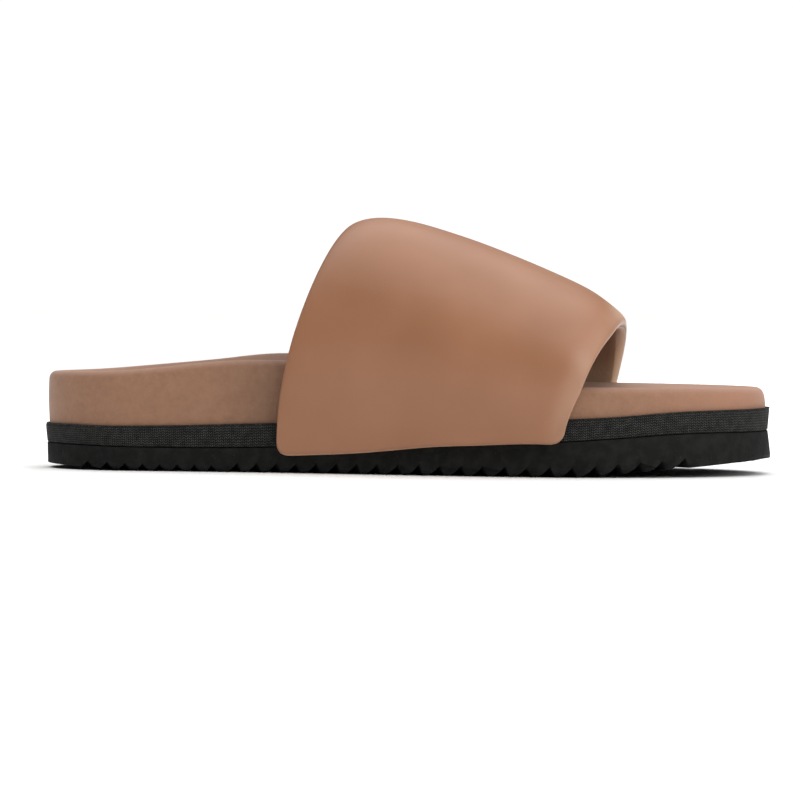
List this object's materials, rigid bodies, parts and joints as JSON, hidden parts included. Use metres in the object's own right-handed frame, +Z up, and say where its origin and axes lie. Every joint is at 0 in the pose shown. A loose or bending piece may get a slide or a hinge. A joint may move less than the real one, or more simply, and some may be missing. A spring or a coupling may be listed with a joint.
{
  "type": "slide sandal",
  "caption": "Right-foot slide sandal: broad padded leather strap on a contoured leather-covered footbed, woven tape rand and rippled foam outsole.",
  "frame": {"origin": "on the floor, under the middle of the sandal's own box", "axes": "+X from the heel to the toe, +Y to the inner side of the foot, +Z up from the floor"},
  "size_m": [0.2626, 0.1102, 0.0911],
  "materials": {
    "outsole_foam": "matte black moulded rubber foam",
    "woven_tape": "charcoal woven tape",
    "footbed_leather": "tan leather with a fine nap",
    "strap_leather": "smooth tan leather with a soft sheen"
  },
  "bodies": {
    "root": {"outsole": "outsole_foam", "woven_rand": "woven_tape", "footbed": "footbed_leather", "upper": "strap_leather"}
  },
  "joints": []
}
